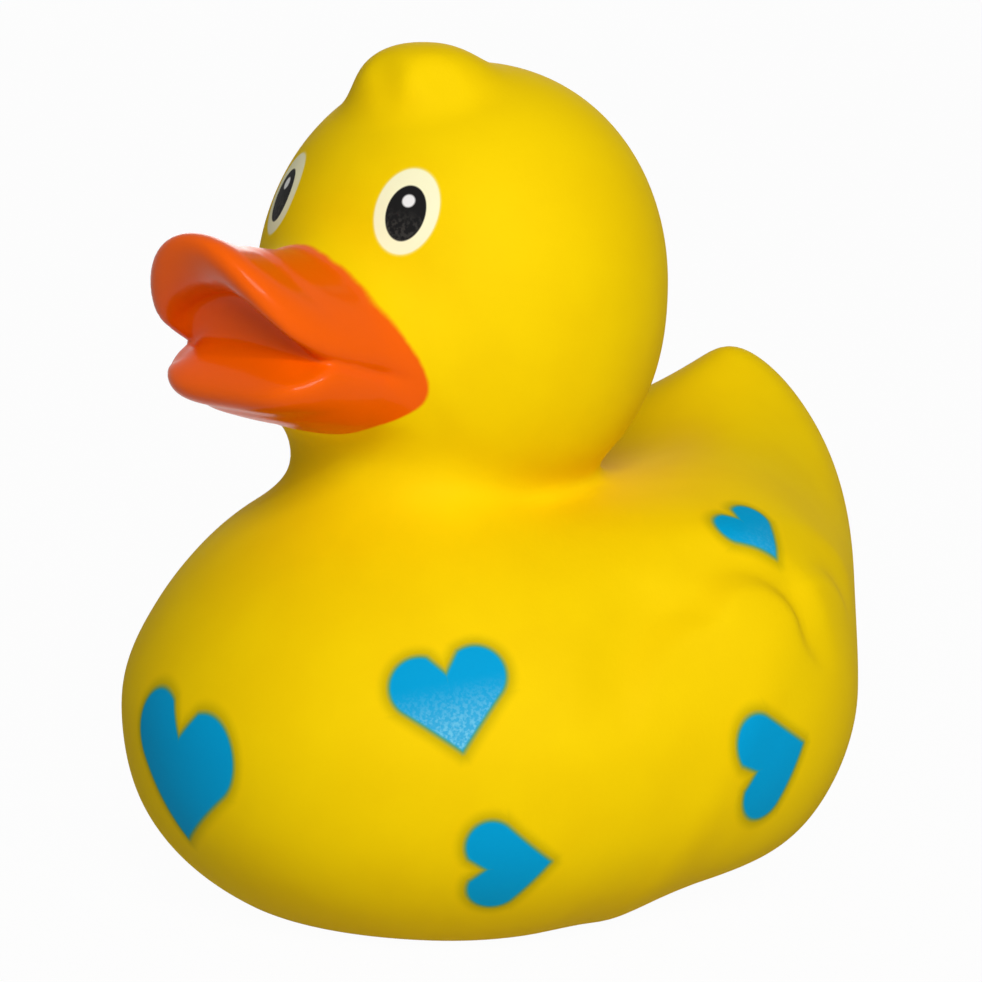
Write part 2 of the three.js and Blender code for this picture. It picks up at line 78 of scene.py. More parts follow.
TAIL_TIP_Z = BODY_CROWN + 10.8
TAIL_SPREAD = 1.43
TAIL_ROUND = 2.3
TAIL_REAR_Y = BODY_Y + BODY_HALF_LENGTH + 6.1
TAIL_PLAN_CURVE = 24.2
TAIL_SIDE_CURVE = 0.031
TAIL_SIDE_Z = BODY_CROWN - 2.5
TAIL_FRONT_Y = BODY_Y + 27.5
TAIL_FRONT_Z = BODY_CROWN - 4.9
TAIL_FRONT_SWEEP = 0.5
TAIL_FRONT_ROUND = 14.0
TAIL_FRONT_TILT = 1.2
TAIL_FOOT_Y = BODY_Y + 40.0
TAIL_FOOT_Z = BODY_CROWN - 10.4
TAIL_FOOT_TILT = math.radians(38.0)
TAIL_ROOF_LEAN = 1.5
TAIL_SWEEP_HEIGHT = 12.0
TAIL_RIDGE_ROUND = 9.0
TAIL_REAR_ROUND = 5.0
TAIL_FOOT_ROUND = 6.0
TAIL_BLEND = 26.0

WING_X = BODY_HALF_WIDTH - 15.1
WING_Y = BODY_Y + 8.5
WING_Z = BODY_EQUATOR + 2.3
WING_THICK = 14.1
WING_LENGTH = 13.5
WING_HEIGHT = 16.5
WING_POWER = 3.0
WING_MIDDLE_ROUND = 4.0
WING_BLEND = 12.0
WING_DISC_Y = WING_Y - 9.0
WING_DISC_Z = WING_Z - 1.7
WING_DISC_RADIUS = 13.2
HOOK_Y = WING_Y - 5.2
HOOK_Z = WING_Z + 8.5
HOOK_RADIUS = 5.7
HOOK_JOIN = 1.5
FEATHER_Y = WING_Y + 4.3
FEATHER_Z = WING_Z + 6.3
FEATHER_RADIUS = 7.4
FRONT_GROOVE = 0.9
HOOK_GROOVE = 1.0
FEATHER_GROOVE = 0.6
FRONT_GROOVE_IN = 2.4
FRONT_GROOVE_OUT = 5.0
FRONT_LOW_Z = WING_DISC_Z
FRONT_HIGH_Z = WING_DISC_Z + 11.0
HOOK_GROOVE_IN = 1.8
HOOK_GROOVE_OUT = 4.0
HOOK_START_Y = WING_DISC_Y - 9.0
HOOK_FULL_Y = HOOK_Y - 2.0
HOOK_END_Y = HOOK_Y + 3.0
HOOK_END_LOW_Z = HOOK_Z - 6.0
HOOK_END_HIGH_Z = HOOK_Z - 2.5
OPEN_SIDE_UP = 0.83
OPEN_SIDE_FORWARD = 0.55
OPEN_SIDE_START = -0.35
OPEN_SIDE_END = 0.4
FEATHER_TOP_Z = FEATHER_Z + 5.0
FEATHER_GAP = 3.0
GROOVE_INNER_X = 10.0
GROOVE_OUTER_X = 18.0

CREST_Y = HEAD_Y - 5.1
CREST_Z = HEAD_Z + 18.8
CREST_HALF_WIDTH = 7.4
CREST_HALF_LENGTH = 6.7
CREST_HALF_HEIGHT = 6.0
CREST_POWER = 2.3
CURL_GROOVE = 0.42
CURL_GROOVE_WIDTH = 1.7
CURL_GROOVES = (
    ((-2.8, HEAD_Y - 10.0), (3.8, HEAD_Y - 11.4)),
    ((2.8, HEAD_Y - 9.9), (7.4, HEAD_Y - 7.0)),
)

BILL_ROOT_Y = HEAD_Y - 16.9
BILL_LENGTH = 18.9
BILL_HALF_WIDTH = 11.9
BILL_POWER = 3.0
LOWER_LENGTH = 15.6
LOWER_HALF_WIDTH = 11.3
LOWER_POWER = 4.4
CORE_LENGTH = 11.6
CORE_HALF_WIDTH = 9.8
BILL_TOP_Z = HEAD_Z + 5.7
BILL_FLARE = 0.016
BILL_FLARE_START = HEAD_Y - 20.4
BILL_ARCH = 0.053
MOUTH_ROOF_Z = HEAD_Z + 2.7
MOUTH_ROOF_ARCH = 0.055
MOUTH_FLOOR_Z = HEAD_Z - 1.3
MOUTH_FLOOR_ARCH = 0.022
MOUTH_OPEN_START = HEAD_Y - 26.2
MOUTH_OPEN_END = HEAD_Y - 30.0
LIP_OVERLAP = 0.2
MOUTH_BLEND = 0.5
MOUTH_CORNER_Y = HEAD_Y - 15.4
MOUTH_CORNER_Z = HEAD_Z - 6.5
MOUTH_LINE_SLOPE = 0.284
CHIN_Z = HEAD_Z - 11.0
CHIN_RISE = 3.4
CHIN_SIDE_RISE = 2.6
CHIN_HALF_WIDTH = 10.7
CHIN_RISE_START = HEAD_Y - 19.4
BILL_FRONT_Y = HEAD_Y - 34.9
UPPER_LIP_THICK = 3.2
UPPER_LIP_DEPTH = 6.0
UPPER_TIP_ROUND = 1.6
UPPER_RIM_ROUND = 2.6
UPPER_CORE_BLEND = 1.2
ROOF_ROUND = 1.0
LOWER_LIP_ROUND = 2.6
LOWER_CORE_BLEND = 0.8
CHIN_ROUND = 2.0
CORE_ROUND = 1.5
BILL_BACK_ROUND = 1.0
LOWER_LIP_THICK = 2.6
LOWER_LIP_DEPTH = 4.6
LIP_CURVE_EASE = 0.4
LOWER_SIDE_ROUND = 2.2
BILL_BACK_Y = HEAD_Y - 9.9

BILL_JOIN = 4.0
CREST_JOIN = 2.2
BASE_ROUND = 1.4


def mix(start, end, share):
    return start + (end - start) * share


def ease(start, end, value):
    t = np.clip((value - start) / (end - start), 0, 1)
    return t * t * (3 - 2 * t)


def smooth_min(a, b, radius):
    h = np.clip(0.5 + 0.5 * (b - a) / radius, 0, 1)
    return b + (a - b) * h - radius * h * (1 - h)


def smooth_max(a, b, radius):
    return -smooth_min(-a, -b, radius)


def rounded(x, y, z, rx, ry, rz, power):
    g = np.hypot(x / rx, y / ry) + 1e-9
    t = np.abs(z) / rz + 1e-9
    f = (g ** power + t ** power) ** (1 / power)
    dg = (g / f) ** (power - 1) / g
    dt = (t / f) ** (power - 1) / rz
    slope = np.sqrt((dg * x / rx ** 2) ** 2 + (dg * y / ry ** 2) ** 2 + dt ** 2)
    return (f - 1) / np.maximum(slope, 1e-3)


def body(x, y, z):
    behind = np.maximum(y - REAR_RISE_START, 0)
    rise = REAR_RISE * (1 - np.exp(-REAR_RISE_RATE * behind * behind / REAR_RISE))
    equator = BODY_EQUATOR + rise
    upper = ease(-EQUATOR_BLEND, EQUATOR_BLEND, z - equator)
    rear = REAR_TUCK * ease(TUCK_START, REAR_TUCK_END, y)
    side = SIDE_TUCK * (x / SIDE_TUCK_WIDTH) ** 2 * ease(TUCK_START, SIDE_TUCK_END, y)
    crown = BODY_CROWN + CHEST_RISE * ease(CHEST_BACK_Y, CHEST_FRONT_Y, y)
    reach = np.maximum(mix(BODY_DEPTH - rear - side, crown - equator, upper), LEAST_REACH)
    power = mix(BODY_POWER_LOW, BODY_POWER_UP, upper)
    return rounded(x, y - BODY_Y, z - equator, BODY_HALF_WIDTH, BODY_HALF_LENGTH, reach, power)


def head(x, y, z):
    up = z - HEAD_Z
    upper = ease(-EQUATOR_BLEND, EQUATOR_BLEND, up)
    reach = mix(HEAD_DOWN, HEAD_UP, upper)
    power = mix(HEAD_POWER_LOW, HEAD_POWER_UP, upper)
    return rounded(x, y - HEAD_Y - HEAD_LEAN * up, up, HEAD_RADIUS, HEAD_RADIUS, reach, power)


def tail(x, y, z):
    ridge = TAIL_TIP_Z - TAIL_SPREAD * (np.hypot(x, TAIL_ROUND) - TAIL_ROUND)
    roof = (z - ridge) / TAIL_ROOF_LEAN
    sweep = TAIL_FRONT_SWEEP * ease(TAIL_FRONT_Z - TAIL_SWEEP_HEIGHT, TAIL_FRONT_Z, z)
    behind = y - TAIL_FRONT_Y + sweep * (np.hypot(x, TAIL_FRONT_ROUND) - TAIL_FRONT_ROUND)
    front = math.cos(TAIL_FRONT_TILT) * (z - TAIL_FRONT_Z) - math.sin(TAIL_FRONT_TILT) * behind
    curve = x * x / TAIL_PLAN_CURVE + TAIL_SIDE_CURVE * (z - TAIL_SIDE_Z) ** 2
    rear = y - TAIL_REAR_Y + curve
    wedge = smooth_max(smooth_max(roof, front, TAIL_RIDGE_ROUND), rear, TAIL_REAR_ROUND)
    foot = math.sin(TAIL_FOOT_TILT) * (y - TAIL_FOOT_Y) - math.cos(TAIL_FOOT_TILT) * (z - TAIL_FOOT_Z)
    return smooth_max(wedge, foot, TAIL_FOOT_ROUND)


def wing(x, y, z):
    out = np.hypot(x, WING_MIDDLE_ROUND) - WING_X
    return rounded(out, y - WING_Y, z - WING_Z, WING_THICK, WING_LENGTH, WING_HEIGHT, WING_POWER)


def groove(distance, inner, outer):
    """Depth share of a groove along an outline: steep on the inner side and slow on the outer one."""
    return np.where(distance < 0, ease(-inner, 0, distance), 1 - ease(0, outer, distance))


def wing_grooves(x, y, z):
    disc = np.hypot(y - WING_DISC_Y, z - WING_DISC_Z) - WING_DISC_RADIUS
    hook = np.hypot(y - HOOK_Y, z - HOOK_Z) - HOOK_RADIUS
    edge = smooth_min(disc, hook, HOOK_JOIN)
    hooked = ease(HOOK_START_Y, HOOK_FULL_Y, y)
    rise = OPEN_SIDE_UP * (z - WING_DISC_Z)
    facing = (rise - OPEN_SIDE_FORWARD * (y - WING_DISC_Y)) / WING_DISC_RADIUS
    open_side = ease(OPEN_SIDE_START, OPEN_SIDE_END, facing)
    below_hook = 1 - ease(HOOK_END_LOW_Z, HOOK_END_HIGH_Z, z)
    hook_end = 1 - ease(HOOK_Y, HOOK_END_Y, y) * below_hook
    front_depth = FRONT_GROOVE * ease(FRONT_LOW_Z, FRONT_HIGH_Z, z)
    depth = mix(front_depth, HOOK_GROOVE, hooked) * open_side * hook_end
    inner = mix(FRONT_GROOVE_IN, HOOK_GROOVE_IN, hooked)
    outer = mix(FRONT_GROOVE_OUT, HOOK_GROOVE_OUT, hooked)
    feather = np.hypot(y - FEATHER_Y, z - FEATHER_Z) - FEATHER_RADIUS
    feather_depth = FEATHER_GROOVE * ease(FEATHER_Z, FEATHER_TOP_Z, z) * ease(0, FEATHER_GAP, edge)
    feather_cut = feather_depth * groove(feather, HOOK_GROOVE_IN, HOOK_GROOVE_OUT)
    cut = depth * groove(edge, inner, outer) + feather_cut
    return cut * ease(GROOVE_INNER_X, GROOVE_OUTER_X, x)


def crest(x, y, z):
    half = (CREST_HALF_WIDTH, CREST_HALF_LENGTH, CREST_HALF_HEIGHT)
    mound = rounded(x, y - CREST_Y, z - CREST_Z, *half, CREST_POWER)
    for (x0, y0), (x1, y1) in CURL_GROOVES:
        run_x, run_y = x1 - x0, y1 - y0
        share = np.clip(((x - x0) * run_x + (y - y0) * run_y) / (run_x ** 2 + run_y ** 2), 0, 1)
        gap = np.hypot(x - x0 - run_x * share, y - y0 - run_y * share)
        fade = (4 * share * (1 - share)) ** 2
        mound = mound + CURL_GROOVE * fade * (1 - ease(0, CURL_GROOVE_WIDTH, gap))
    return mound


def outline(x, y, half_width, length, power):
    a = np.abs(x) / half_width + 1e-9
    b = np.abs(y) / length + 1e-9
    f = (a ** power + b ** power) ** (1 / power)
    slope_x = (a / f) ** (power - 1) / half_width
    slope_y = (b / f) ** (power - 1) / length
    return (f - 1) / np.maximum(np.hypot(slope_x, slope_y), 1e-3)


def lip_curve(inset, depth):
    s = np.clip(inset / depth, 0, 1)
    return mix(s, ease(0, 1, s), LIP_CURVE_EASE)


def bill(x, y, z):
    ahead = np.minimum(y - BILL_ROOT_Y, 0)
    upper_edge = outline(x, ahead, BILL_HALF_WIDTH, BILL_LENGTH, BILL_POWER)
    lower_edge = outline(x, ahead, LOWER_HALF_WIDTH, LOWER_LENGTH, LOWER_POWER)
    core_edge = outline(x, ahead, CORE_HALF_WIDTH, CORE_LENGTH, LOWER_POWER)
    top = BILL_TOP_Z + BILL_FLARE * np.maximum(BILL_FLARE_START - y, 0) ** 2 - BILL_ARCH * x * x
    top_lean = np.hypot(1, 2 * BILL_ARCH * x)
    chin_rise = CHIN_RISE * ease(CHIN_RISE_START, BILL_FRONT_Y, y)
    bottom = CHIN_Z + chin_rise + CHIN_SIDE_RISE * (x / CHIN_HALF_WIDTH) ** 4
    bottom_lean = np.hypot(1, 4 * CHIN_SIDE_RISE * x ** 3 / CHIN_HALF_WIDTH ** 4)
    opened = ease(MOUTH_OPEN_START, MOUTH_OPEN_END, y)
    closed = MOUTH_CORNER_Z + MOUTH_LINE_SLOPE * (MOUTH_CORNER_Y - y)
    wall_top = MOUTH_ROOF_Z - MOUTH_ROOF_ARCH * x * x
    roof_open = mix(top - UPPER_LIP_THICK * top_lean, wall_top, lip_curve(-upper_edge, UPPER_LIP_DEPTH))
    wall_foot = MOUTH_FLOOR_Z - MOUTH_FLOOR_ARCH * x * x
    floor_open = mix(bottom + LOWER_LIP_THICK, wall_foot, lip_curve(-lower_edge, LOWER_LIP_DEPTH))
    roof = mix(closed - LIP_OVERLAP, smooth_max(roof_open, closed, ROOF_ROUND), opened)
    floor = mix(closed + LIP_OVERLAP, floor_open, opened)
    above_top = (z - top) / top_lean
    below_bottom = (bottom - z) / bottom_lean
    under_roof = (roof - z) / top_lean
    over_floor = z - floor
    upper_tip = smooth_max(above_top, under_roof, UPPER_TIP_ROUND)
    upper_lip = smooth_max(upper_tip, upper_edge, UPPER_RIM_ROUND)
    cushion = smooth_max(over_floor, lower_edge, mix(LOWER_SIDE_ROUND, LOWER_LIP_ROUND, opened))
    lower_lip = smooth_max(cushion, below_bottom, CHIN_ROUND)
    core = smooth_max(smooth_max(core_edge, above_top, CORE_ROUND), below_bottom, CORE_ROUND)
    upper = smooth_min(upper_lip, core, UPPER_CORE_BLEND)
    lower = smooth_min(lower_lip, core, LOWER_CORE_BLEND)
    lips = smooth_min(upper, lower, MOUTH_BLEND)
    return smooth_max(lips, y - BILL_BACK_Y, BILL_BACK_ROUND)


def main_form(x, y, z):
    flank = smooth_min(body(x, y, z), wing(x, y, z), WING_BLEND)
    trunk = smooth_min(flank, tail(x, y, z), TAIL_BLEND) + wing_grooves(x, y, z)
    neck = NECK_BLEND + NECK_FRONT_BLEND * ease(NECK_BACK_Y, NECK_FRONT_Y, y)
    return smooth_min(trunk, head(x, y, z), neck)


def skin(x, y, z):
    """Distance from the duck's skin, below zero inside."""
    side = np.abs(x)
    form = smooth_min(main_form(side, y, z), crest(x, y, z), CREST_JOIN)
    form = smooth_min(form, bill(side, y, z), BILL_JOIN)
    return smooth_max(form, -z, BASE_ROUND)


def field(p):
    return skin(p[..., 0], p[..., 1], p[..., 2])


# The mesh of the skin

MM = 0.001
COARSE = 0.75
FINE = 0.42
GRID_X = (-40.0, -13.0, 13.0, 40.0)
GRID_Y = (-37.0, -37.0, -9.0, 55.0)
GRID_Z = (-1.6, 47.0, 73.0, 88.0)
SLOPE_STEP = 0.05
LONGEST_MOVE = 0.3
LEAST_SLOPE = 0.1
RELAX_ROUNDS = 4
RELAX_SHARE = 0.5
LAST_ROUNDS = 2
PATCH_ROUNDS = 40


def graded(start, fine_start, fine_end, end):
    """Grid lines from start to end, closer together between fine_start and fine_end."""
    before = np.arange(start, fine_start, COARSE)
    between = np.arange(fine_start, fine_end, FINE)
    after = np.arange(fine_end, end + COARSE, COARSE)
    return np.concatenate([before, between, after])


def sample(lines):
    """The skin distance at every crossing of the grid lines."""
    y, z = np.meshgrid(lines[1], lines[2], indexing="ij")
    return np.stack([skin(np.full_like(y, x), y, z) for x in lines[0]])


def net(lines, values):
    """A net of quads with one point in each grid cell that the skin passes through."""
    inside = values < 0
    cells = [n - 1 for n in values.shape]
    corners = [(i, j, k) for i in (0, 1) for j in (0, 1) for k in (0, 1)]
    full = sum(inside[i:i + cells[0], j:j + cells[1], k:k + cells[2]].astype(int) for i, j, k in corners)
    mixed = (full > 0) & (full < len(corners))
    number = np.full(mixed.shape, -1)
    number[mixed] = np.arange(mixed.sum())
    at = np.stack(np.nonzero(mixed), 1)
    total = np.zeros((len(at), 3))
    crossings = np.zeros(len(at))
    quads = []
    for axis in range(3):
        across, along = (axis + 1) % 3, (axis + 2) % 3
        for i in (0, 1):
            for j in (0, 1):
                low = at.copy()
                low[:, across] += i
                low[:, along] += j
                high = low.copy()
                high[:, axis] += 1
                a = values[tuple(low.T)]
                b = values[tuple(high.T)]
                cross = (a < 0) != (b < 0)
                share = np.where(cross, a / np.where(cross, a - b, 1), 0)
                p = np.stack([lines[n][low[:, n]] for n in range(3)], 1)
                q = np.stack([lines[n][high[:, n]] for n in range(3)], 1)
                total += np.where(cross[:, None], p + (q - p) * share[:, None], 0)
                crossings += cross
        first = np.take(inside, np.arange(values.shape[axis] - 1), axis)
        last = np.take(inside, np.arange(1, values.shape[axis]), axis)
        edge = np.stack(np.nonzero(first != last), 1)
        ring = []
        for i, j in ((-1, -1), (0, -1), (0, 0), (-1, 0)):
            cell = edge.copy()
            cell[:, across] += i
            cell[:, along] += j
            ring.append(number[tuple(cell.T)])
        ring = np.stack(ring, 1)
        outward = first[tuple(edge.T)]
        quads.append(np.where(outward[:, None], ring, ring[:, ::-1]))
    return total / crossings[:, None], np.concatenate(quads)


def slope(points):
    """Direction in which the skin distance grows fastest."""
    out = np.empty_like(points)
    for axis in range(3):
        shift = np.zeros(3)
        shift[axis] = SLOPE_STEP
        out[:, axis] = (field(points + shift) - field(points - shift)) / (2 * SLOPE_STEP)
    return out


def onto_skin(points, rounds):
    for _ in range(rounds):
        rise = slope(points)
        step = rise * (field(points) / np.maximum((rise * rise).sum(1), LEAST_SLOPE))[:, None]
        length = np.linalg.norm(step, axis=1, keepdims=True)
        points = points - step * np.minimum(1, LONGEST_MOVE / np.maximum(length, 1e-9))
    return points


def relaxed(points, quads):
    """Points slid along the skin towards the middle of their neighbours."""
    start = np.concatenate([quads[:, n] for n in range(4)])
    end = np.concatenate([quads[:, (n + 1) % 4] for n in range(4)])
    count = np.bincount(start, minlength=len(points))
    total = np.stack([np.bincount(start, points[end, n], len(points)) for n in range(3)], 1)
    middle = total / count[:, None]
    normal = slope(points)
    normal /= np.linalg.norm(normal, axis=1, keepdims=True)
    move = middle - points
    move -= normal * (move * normal).sum(1, keepdims=True)
    return points + RELAX_SHARE * move


def make_skin():
    lines = [graded(*GRID_X), graded(*GRID_Y), graded(*GRID_Z)]
    points, quads = net(lines, sample(lines))
    for _ in range(RELAX_ROUNDS):
        points = onto_skin(relaxed(points, quads), 1)
    points = onto_skin(points, LAST_ROUNDS)
    mesh = bpy.data.meshes.new("duck_skin")
    mesh.from_pydata((points * MM).tolist(), [], quads.tolist())
    mesh.shade_smooth()
    piece = bpy.data.objects.new("duck_skin", mesh)
    bpy.context.collection.objects.link(piece)
    return piece


# The finish

class Wire:
    """A node socket that takes part in Python arithmetic, each operation adding a Math node."""

    def __init__(self, tree, socket=None):
        self.tree = tree
        self.socket = socket

    def add(self, kind, settings, sockets, output=0):
        """Adds a node, sets it up, fills its sockets with values or links, and returns one output."""
        node = self.tree.nodes.new(kind)
        for name, value in settings.items():
            setattr(node, name, value)
        for key, value in sockets.items():
            if isinstance(value, Wire):
                self.tree.links.new(value.socket, node.inputs[key])
            else:
                node.inputs[key].default_value = value
        return Wire(self.tree, node.outputs[output]) if node.outputs else None

    def maths(self, operation, *values):
        return self.add("ShaderNodeMath", {"operation": operation}, dict(enumerate(values)))

    def __add__(self, other):
        return self.maths("ADD", self, other)

    def __radd__(self, other):
        return self.maths("ADD", other, self)

    def __sub__(self, other):
        return self.maths("SUBTRACT", self, other)

    def __rsub__(self, other):
        return self.maths("SUBTRACT", other, self)

    def __mul__(self, other):
        return self.maths("MULTIPLY", self, other)

    def __rmul__(self, other):
        return self.maths("MULTIPLY", other, self)

    def __truediv__(self, other):
        return self.maths("DIVIDE", self, other)

    def __pow__(self, other):
        return self.maths("POWER", self, other)

    def __abs__(self):
        return self.maths("ABSOLUTE", self)


def lesser(a, b):
    return a.maths("MINIMUM", a, b)


def greater(a, b):
    return a.maths("MAXIMUM", a, b)


def length(a, b):
    return (a * a + b * b) ** 0.5


def along(position, direction):
    """How far a position lies along a direction."""
    sockets = {0: position, 1: direction}
    return position.add("ShaderNodeVectorMath", {"operation": "DOT_PRODUCT"}, sockets, 1)


def rising(value, start, end):
    """Smooth change from 0 at start to 1 at end."""
    sockets = {0: value, 1: start, 2: end, 3: 0.0, 4: 1.0}
    return value.add("ShaderNodeMapRange", {"interpolation_type": "SMOOTHSTEP"}, sockets)


def inside_of(distance, softness):
    return 1 - rising(distance, -softness, softness)


def blended(share, first, second):
    return share.add("ShaderNodeMix", {"data_type": "RGBA"}, {0: share, 6: first, 7: second}, 2)


def speckle(position, per_mm, detail):
    sockets = {"Vector": position, "Scale": per_mm, "Detail": detail}
    return position.add("ShaderNodeTexNoise", {}, sockets)


def colour(red, green, blue):
    """Linear colour of an sRGB one."""
    def line(v):
        v /= 255
        return v / 12.92 if v <= 0.04045 else ((v + 0.055) / 1.055) ** 2.4
    return (line(red), line(green), line(blue), 1.0)


YELLOW = (0.95, 0.65, 0.0, 1.0)
YELLOW_DEEP = (0.90, 0.59, 0.0, 1.0)
ORANGE = (0.90, 0.115, 0.0, 1.0)
HEART_BLUE = colour(0, 160, 215)
# Pale blue painted sheen: it stands in for light reflected off the hearts' glossy ink
HEART_SHEEN = colour(120, 205, 235)
HEART_RIM = colour(35, 155, 105)
HEART_HALO = colour(165, 150, 0)
EYE_CREAM = colour(252, 248, 205)
EYE_EDGE = colour(245, 225, 110)
PUPIL = colour(26, 26, 26)
PUPIL_WORN = colour(82, 80, 76)
GLINT = colour(238, 238, 235)


def surface_point(x, y, z):
    """The skin point nearest a rough one, and its outward direction."""
    point = onto_skin(np.array([[x, y, z]], float), PATCH_ROUNDS)
    normal = slope(point)[0]
    return point[0], normal / np.linalg.norm(normal)


class Patch:
    """A flat print laid on the skin: a centre, an outward direction and two directions across it."""

    def __init__(self, x, y, z, turn):
        self.centre, self.out = surface_point(x, y, z)
        across = np.cross((0.0, 0.0, 1.0), self.out)
        across /= np.linalg.norm(across)
        up = np.cross(self.out, across)
        angle = math.radians(turn)
        self.across = across * math.cos(angle) + up * math.sin(angle)
        self.up = up * math.cos(angle) - across * math.sin(angle)

    def place(self, position, direction, shift=0.0):
        return along(position, tuple(direction)) - (float(self.centre @ direction) + shift)

    def depth(self, position):
        return abs(self.place(position, self.out))


# Each heart: a rough point on the skin, its turn, its width, its height and how much painted sheen
# lightens its lower part
HEARTS = (
    (-4.1, -30.3, 16.8, -8.0, 15.5, 13.9, 0.0),
    (22.2, -19.3, 26.5, 12.0, 10.8, 9.5, 1.0),
    (25.7, -15.3, 10.4, 95.0, 10.1, 7.8, 0.0),
    (36.1, 10.1, 18.0, 108.0, 11.4, 8.0, 0.0),
    (28.5, 15.4, 38.9, 13.0, 6.6, 6.6, 0.2),
    (-30.0, -8.0, 25.0, -20.0, 10.5, 10.0, 0.6),
    (-33.5, 1.0, 11.5, -70.0, 9.5, 9.0, 0.0),
    (-36.0, 14.0, 24.0, 40.0, 11.0, 10.0, 0.0),
    (-22.0, 36.0, 29.0, -15.0, 10.0, 9.5, 0.3),
    (9.0, 47.0, 31.0, 25.0, 11.5, 11.0, 0.0),
    (17.0, 41.0, 19.0, -30.0, 9.0, 8.5, 0.0),
)
LOBE_SIDE, LOBE_UP, LOBE_RADIUS = 0.30, 0.72, 0.31
HEART_WIDE = 2 * (LOBE_SIDE + LOBE_RADIUS)
HEART_TALL = LOBE_UP + LOBE_RADIUS
HEART_SLANT = math.radians(46)
SIDE_LENGTH = 0.716
NOTCH_UP = 0.78
NOTCH_SLOPE = 1.3
NOTCH_SHARE = 0.6
# Painted sheen on the hearts: strongest near the point, gone by this height
SHEEN_FROM, SHEEN_TO = 0.1, 0.75
PRINT_DEPTH = 7.0
HEART_SOFT = 0.18
HALO_WIDTH = 1.6
HALO_SHARE = 0.65
RIM_WIDTH = 0.25
RIM_SOFT = 0.3
RIM_SHARE = 0.9
# Flecks in the painted sheen on the hearts' ink, and how strongly the sheen and its flecks lighten the
# blue
SHEEN_FLECKS_PER_MM, SHEEN_FLECK_DETAIL = 3.0, 3.0
SHEEN_FLECK_FROM, SHEEN_FLECK_TO = 0.40, 0.66
SHEEN_SHARE, SHEEN_FLECK_SHARE = 0.25, 0.6


def heart(position, x, y, z, turn, width, height, painted_sheen):
    """Distance from a heart's edge, and how much painted sheen lightens its ink there."""
    patch = Patch(x, y, z, turn)
    side = abs(patch.place(position, patch.across)) * (HEART_WIDE / width)
    up = patch.place(position, patch.up, -height / 2) * (HEART_TALL / height)
    lobe = length(side - LOBE_SIDE, up - LOBE_UP) - LOBE_RADIUS
    slanting = side * math.cos(HEART_SLANT) - up * math.sin(HEART_SLANT)
    side_end = side * math.sin(HEART_SLANT) + up * math.cos(HEART_SLANT) - SIDE_LENGTH
    point = greater(greater(slanting, 0 - up), greater(side_end, up - LOBE_UP))
    notch = (up - NOTCH_UP - side * NOTCH_SLOPE) * NOTCH_SHARE
    scale = (width / HEART_WIDE + height / HEART_TALL) / 2
    distance = greater(lesser(lobe, point), notch) * scale
    # Painted sheen: the lower part of the heart is lightened to stand in for light reflected off the
    # glossy ink
    pale = (1 - rising(up, SHEEN_FROM, SHEEN_TO)) * painted_sheen
    return greater(distance, patch.depth(position) - PRINT_DEPTH), pale


# Each eye: a rough point on the skin and its turn
EYES = ((8.7, -12.0, 70.4, -7.8), (-8.6, -11.8, 70.8, 7.8))
EYE_HALF = (3.15, 4.28)
PUPIL_HALF = (1.97, 2.78)
PUPIL_LOW = 0.25
GLINT_UP = 0.95
GLINT_RADIUS = 0.62
EYE_DEPTH_FROM, EYE_DEPTH_TO = 5.0, 5.5
EYE_EDGE_WIDTH, EYE_EDGE_SOFT = 0.03, 0.05
CREAM_SOFT = 0.03
PUPIL_SOFT = 0.035
GLINT_SOFT = 0.12
WORN_PER_MM, WORN_DETAIL = 2.5, 4.0
WORN_FROM, WORN_TO = 0.42, 0.62
WORN_TOP, WORN_FULL = -0.5, 1.8
WORN_SHARE = 0.35

# The painted outline of the bill, seen from the front
PAINT_MIDDLE_Z = 55.0
PAINT_HALF_WIDTH = 12.6
PAINT_RISE = 11.9
PAINT_DROP = 6.1
PAINT_POWER_UP = 1.75
PAINT_POWER_LOW = 2.3
PAINT_BACK_Y = -7.0
PAINT_ALL_Y = -18.2
PAINT_FOOT_Z = 46.0
PAINT_SCALE = 9.0
PAINT_SOFT = 0.1
UNEVEN_PER_MM, UNEVEN_DETAIL = 0.5, 2.0
UNEVEN_REACH = 0.15


def bill_paint(x, y, z, position):
    """Distance from the edge of the orange paint, below zero on the bill."""
    above = z - PAINT_MIDDLE_Z
    across = abs(x) * (1 / PAINT_HALF_WIDTH)
    rise = greater(above, 0.0) * (1 / PAINT_RISE)
    drop = greater(0 - above, 0.0) * (1 / PAINT_DROP)
    upper = (across ** PAINT_POWER_UP + rise ** PAINT_POWER_UP) ** (1 / PAINT_POWER_UP)
    lower = (across ** PAINT_POWER_LOW + drop ** PAINT_POWER_LOW) ** (1 / PAINT_POWER_LOW)
    egg = (greater(upper, lower) - 1) * PAINT_SCALE
    uneven = (speckle(position, UNEVEN_PER_MM, UNEVEN_DETAIL) - 0.5) * UNEVEN_REACH
    painted = lesser(greater(egg, y - PAINT_BACK_Y), y - PAINT_ALL_Y)
    return greater(painted, PAINT_FOOT_Z - z) + uneven


